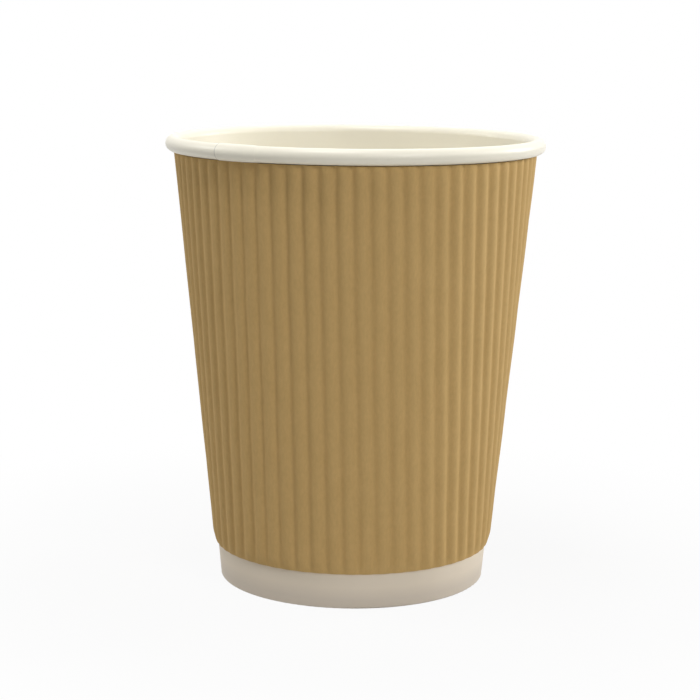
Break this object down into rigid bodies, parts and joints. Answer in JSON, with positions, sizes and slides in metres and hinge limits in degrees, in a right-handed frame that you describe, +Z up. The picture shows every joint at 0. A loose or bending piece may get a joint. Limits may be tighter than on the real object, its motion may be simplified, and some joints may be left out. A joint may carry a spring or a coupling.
{
  "type": "paper cup",
  "caption": "Round tapered paper cup with a rolled rim, a raised bottom and a fluted kraft paper sleeve, for hot drinks.",
  "frame": {"origin": "centre of the foot ring, on the plane that the cup stands on", "axes": "+Z up the axis of the cup towards the mouth, -Y towards the front as pictured, +X to the right of it"},
  "size_m": [0.08, 0.08, 0.0949],
  "materials": {
    "coated_board": "smooth, slight sheen",
    "kraft_paper": "matt, fibrous"
  },
  "bodies": {
    "root": {"cup_wall": "coated_board", "base_disc": "coated_board", "ripple_sleeve": "kraft_paper"}
  },
  "joints": []
}
